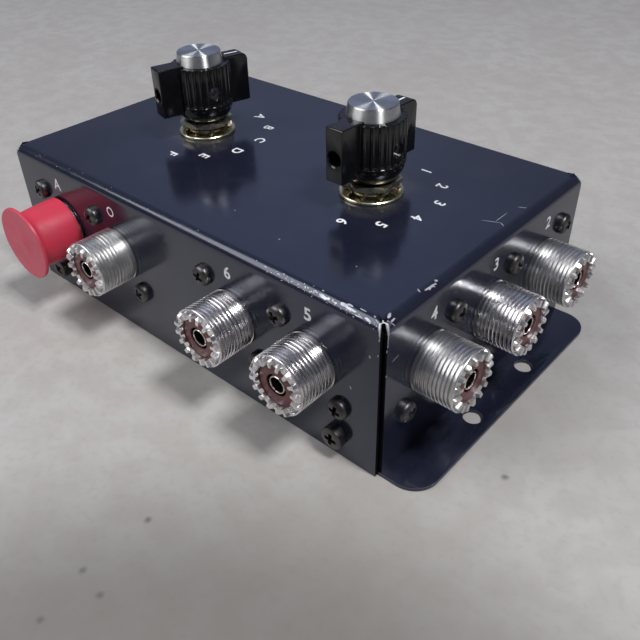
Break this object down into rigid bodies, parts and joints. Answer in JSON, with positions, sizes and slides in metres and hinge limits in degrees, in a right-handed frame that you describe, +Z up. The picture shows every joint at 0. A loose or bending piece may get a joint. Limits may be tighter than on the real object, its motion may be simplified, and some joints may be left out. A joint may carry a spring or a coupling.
{
  "type": "coaxial antenna switch",
  "caption": "Metal-boxed coaxial antenna switch with rotary selector knobs on top, threaded coaxial jacks round its sides and a mounting flange at each end.",
  "frame": {"origin": "on the underside of the base plate, midway between the four flange holes", "axes": "+X along the box, towards the end with the antenna switch; +Y towards the long side that the picture hides; +Z up out of the top, along the knobs' shafts"},
  "size_m": [0.1656, 0.1155, 0.0695],
  "materials": {
    "black_paint": "satin black paint, worn bare along the front fold",
    "black_screw": "black oxide",
    "zinc_plate": "zinc plated",
    "nickel_plate": "nickel plated",
    "phenolic": "moulded, smooth",
    "silver_plate": "silver plated",
    "tinned_copper": "tinned",
    "red_vinyl": "soft, slightly glossy",
    "yellow_zinc": "yellow passivated zinc",
    "ceramic": "glazed ceramic",
    "steel": "bright",
    "brass": "turned",
    "black_plastic": "glossy",
    "spun_aluminium": "spun"
  },
  "bodies": {
    "box": {"top_cover": "black_paint", "base_plate": "black_paint", "cover_screws": "black_screw", "jack_screws": "black_screw", "jack_nuts": "zinc_plate", "antenna_bushing": "zinc_plate", "transmitter_bushing": "zinc_plate", "lock_washers": "zinc_plate", "jack_1": "nickel_plate", "jack_2": "nickel_plate", "jack_3": "nickel_plate", "jack_4": "nickel_plate", "jack_5": "nickel_plate", "jack_6": "nickel_plate", "jack_antenna_common": "nickel_plate", "jack_a": "nickel_plate", "jack_b": "nickel_plate", "jack_c": "nickel_plate", "jack_d": "nickel_plate", "jack_e": "nickel_plate", "jack_f": "nickel_plate", "jack_transmitter_common": "nickel_plate", "antenna_insulators": "phenolic", "transmitter_insulators": "phenolic", "antenna_contacts": "silver_plate", "transmitter_contacts": "silver_plate", "antenna_clips": "silver_plate", "transmitter_clips": "silver_plate", "antenna_wires": "tinned_copper", "transmitter_wires": "tinned_copper", "bushing_nuts": "yellow_zinc", "flat_washers": "yellow_zinc", "antenna_wafer": "ceramic", "transmitter_wafer": "ceramic", "detent_balls": "steel", "detent_leaves": "steel", "tie_screws": "steel", "spacers": "brass"},
    "antenna_selector": {"antenna_knob": "black_plastic", "antenna_knob_disc": "spun_aluminium", "antenna_knob_insert": "brass", "antenna_set_screws": "steel", "antenna_shaft": "steel", "antenna_shaft_clip": "steel", "antenna_star_wheel": "steel", "antenna_rotor": "phenolic", "antenna_rotor_blade": "brass"},
    "transmitter_selector": {"transmitter_knob": "black_plastic", "transmitter_knob_disc": "spun_aluminium", "transmitter_knob_insert": "brass", "transmitter_set_screws": "steel", "transmitter_shaft": "steel", "transmitter_shaft_clip": "steel", "transmitter_star_wheel": "steel", "transmitter_rotor": "phenolic", "transmitter_rotor_blade": "brass"},
    "cap": {"spare_jack_cap": "red_vinyl"}
  },
  "joints": [
    {"name": "antenna_turn", "type": "hinge", "parent": "box", "child": "antenna_selector", "pos_m": [0.0321, 0, 0.0452], "axis": [0, 0, -1], "range_deg": [0, 150]},
    {"name": "transmitter_turn", "type": "hinge", "parent": "box", "child": "transmitter_selector", "pos_m": [-0.0321, 0, 0.0452], "axis": [0, 0, -1], "range_deg": [0, 150]},
    {"name": "cap_pull", "type": "slide", "parent": "box", "child": "cap", "axis": [0, -1, 0], "range_m": [0, 0.04]}
  ]
}
